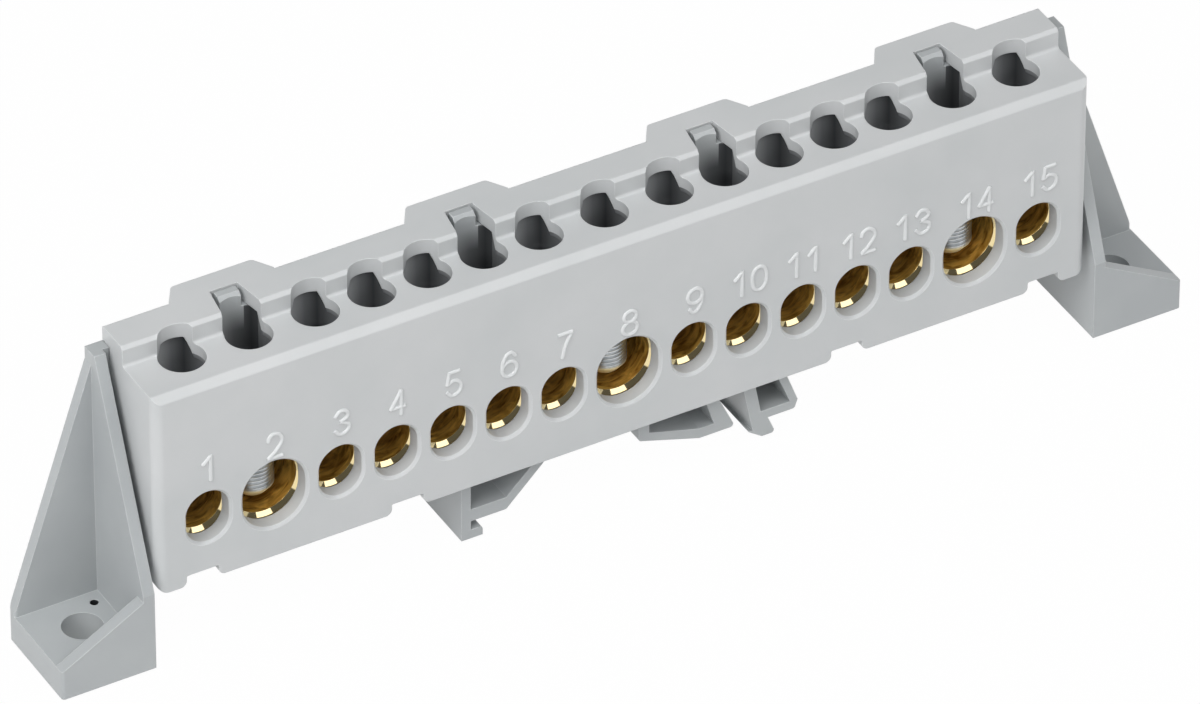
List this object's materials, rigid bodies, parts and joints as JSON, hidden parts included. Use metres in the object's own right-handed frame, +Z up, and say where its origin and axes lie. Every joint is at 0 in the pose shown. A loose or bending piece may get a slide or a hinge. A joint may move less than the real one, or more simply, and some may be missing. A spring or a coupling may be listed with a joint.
{
  "type": "insulated terminal bus bar",
  "caption": "Brass neutral or earth bus bar in a grey moulded housing, with wire openings in front, screw terminals below holes in the top, screw feet and hooks for a mounting rail.",
  "frame": {"origin": "midway between the two foot screw holes, on the plane that the feet stand on", "axes": "+X along the bar towards terminal 15, -Y the side that the wires enter, +Z up out of the panel"},
  "size_m": [0.1432, 0.015, 0.0388],
  "materials": {
    "base_plastic": "satin moulded",
    "cover_plastic": "satin moulded",
    "bar_brass": "extruded and drilled",
    "screw_steel": "bright zinc plated"
  },
  "bodies": {
    "housing": {"base": "base_plastic", "cover": "cover_plastic", "bus_bar": "bar_brass"},
    "screw_01": {"terminal_screw_01": "screw_steel"},
    "screw_02": {"terminal_screw_02": "screw_steel"},
    "screw_03": {"terminal_screw_03": "screw_steel"},
    "screw_04": {"terminal_screw_04": "screw_steel"},
    "screw_05": {"terminal_screw_05": "screw_steel"},
    "screw_06": {"terminal_screw_06": "screw_steel"},
    "screw_07": {"terminal_screw_07": "screw_steel"},
    "screw_08": {"terminal_screw_08": "screw_steel"},
    "screw_09": {"terminal_screw_09": "screw_steel"},
    "screw_10": {"terminal_screw_10": "screw_steel"},
    "screw_11": {"terminal_screw_11": "screw_steel"},
    "screw_12": {"terminal_screw_12": "screw_steel"},
    "screw_13": {"terminal_screw_13": "screw_steel"},
    "screw_14": {"terminal_screw_14": "screw_steel"},
    "screw_15": {"terminal_screw_15": "screw_steel"}
  },
  "joints": [
    {"name": "screw_01_travel", "type": "slide", "parent": "housing", "child": "screw_01", "axis": [0, 0, -1], "range_m": [0, 0.0054]},
    {"name": "screw_02_travel", "type": "slide", "parent": "housing", "child": "screw_02", "axis": [0, 0, -1], "range_m": [-0.0067, 0]},
    {"name": "screw_03_travel", "type": "slide", "parent": "housing", "child": "screw_03", "axis": [0, 0, -1], "range_m": [0, 0.0054]},
    {"name": "screw_04_travel", "type": "slide", "parent": "housing", "child": "screw_04", "axis": [0, 0, -1], "range_m": [0, 0.0054]},
    {"name": "screw_05_travel", "type": "slide", "parent": "housing", "child": "screw_05", "axis": [0, 0, -1], "range_m": [0, 0.0054]},
    {"name": "screw_06_travel", "type": "slide", "parent": "housing", "child": "screw_06", "axis": [0, 0, -1], "range_m": [0, 0.0054]},
    {"name": "screw_07_travel", "type": "slide", "parent": "housing", "child": "screw_07", "axis": [0, 0, -1], "range_m": [0, 0.0054]},
    {"name": "screw_08_travel", "type": "slide", "parent": "housing", "child": "screw_08", "axis": [0, 0, -1], "range_m": [-0.0067, 0]},
    {"name": "screw_09_travel", "type": "slide", "parent": "housing", "child": "screw_09", "axis": [0, 0, -1], "range_m": [0, 0.0054]},
    {"name": "screw_10_travel", "type": "slide", "parent": "housing", "child": "screw_10", "axis": [0, 0, -1], "range_m": [0, 0.0054]},
    {"name": "screw_11_travel", "type": "slide", "parent": "housing", "child": "screw_11", "axis": [0, 0, -1], "range_m": [0, 0.0054]},
    {"name": "screw_12_travel", "type": "slide", "parent": "housing", "child": "screw_12", "axis": [0, 0, -1], "range_m": [0, 0.0054]},
    {"name": "screw_13_travel", "type": "slide", "parent": "housing", "child": "screw_13", "axis": [0, 0, -1], "range_m": [0, 0.0054]},
    {"name": "screw_14_travel", "type": "slide", "parent": "housing", "child": "screw_14", "axis": [0, 0, -1], "range_m": [-0.0067, 0]},
    {"name": "screw_15_travel", "type": "slide", "parent": "housing", "child": "screw_15", "axis": [0, 0, -1], "range_m": [0, 0.0054]}
  ]
}
